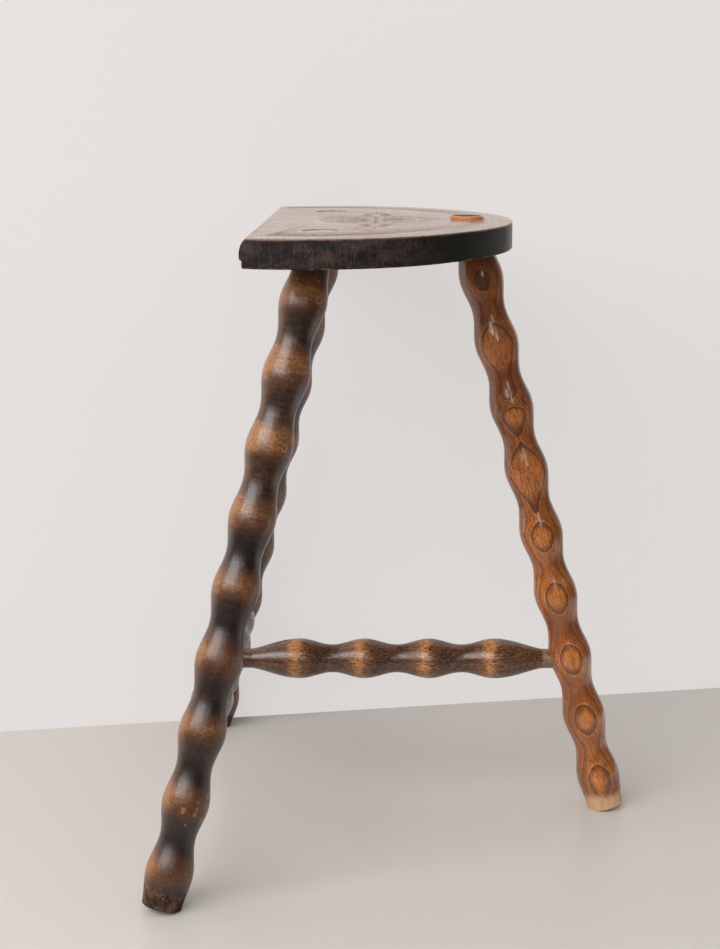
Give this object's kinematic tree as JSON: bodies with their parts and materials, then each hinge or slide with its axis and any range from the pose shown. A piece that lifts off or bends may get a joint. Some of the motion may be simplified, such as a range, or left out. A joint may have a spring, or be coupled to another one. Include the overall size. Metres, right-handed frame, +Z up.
{
  "type": "milking stool",
  "caption": "Milking stool with a half-moon board seat, splayed bobbin-turned legs tenoned through it and turned stretchers in a T.",
  "frame": {"origin": "on the floor, below the middle of the stool's box", "axes": "+Z up, +X from the board's straight edge to its round tip, +Y across the board to the left"},
  "size_m": [0.3634, 0.4192, 0.475],
  "materials": {
    "board_wood": "dark stained and waxed, semi-gloss, worn along the rim",
    "honey_wood": "glossy honey varnish over figured end-grain rings",
    "dark_wood": "dark stained, worn to amber on the crests",
    "brown_wood": "mid brown stain, worn to gold on the crests"
  },
  "bodies": {
    "root": {"seat_board": "board_wood", "single_leg": "honey_wood", "paired_leg_left": "dark_wood", "paired_leg_right": "dark_wood", "cross_stretcher": "dark_wood", "long_stretcher": "brown_wood"}
  },
  "joints": []
}
